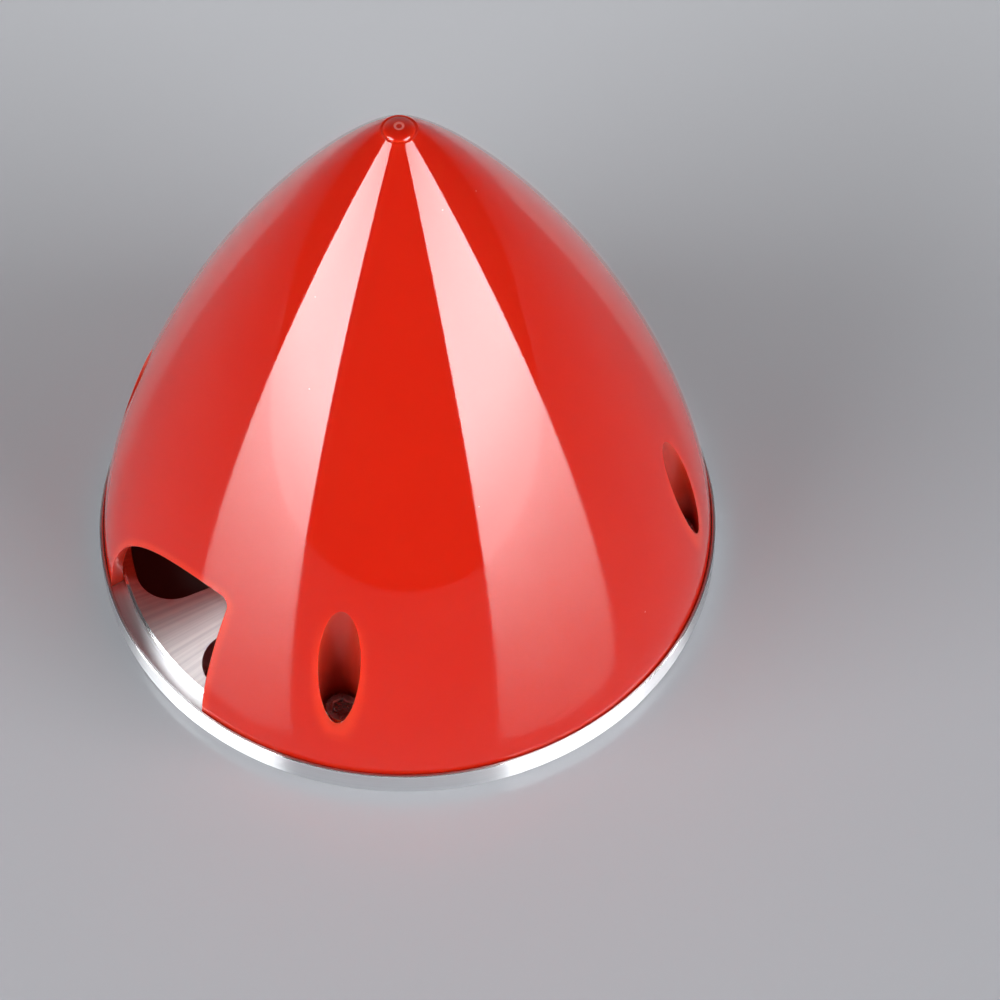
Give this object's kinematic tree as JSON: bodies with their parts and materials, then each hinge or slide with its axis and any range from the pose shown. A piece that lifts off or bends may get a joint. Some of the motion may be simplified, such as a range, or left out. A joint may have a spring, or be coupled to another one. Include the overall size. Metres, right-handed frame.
{
  "type": "propeller spinner",
  "caption": "Pointed plastic cone on a milled aluminium backplate that covers the hub of a two-blade model aircraft propeller.",
  "frame": {"origin": "centre of the backplate's rear face", "axes": "+Z along the shaft to the nose; the propeller's blades leave along +X and -X; the four screws are at 45 degrees between the axes"},
  "size_m": [0.102, 0.102, 0.1024],
  "materials": {
    "red_plastic": "glossy moulded nylon, slightly translucent at thin edges",
    "turned_aluminium": "bright turned and milled",
    "screw_steel": "zinc plated"
  },
  "bodies": {
    "root": {"spinner_cone": "red_plastic", "backplate": "turned_aluminium", "adapter_ring": "turned_aluminium", "cone_screw_1": "screw_steel", "cone_screw_2": "screw_steel", "cone_screw_3": "screw_steel", "cone_screw_4": "screw_steel"}
  },
  "joints": []
}
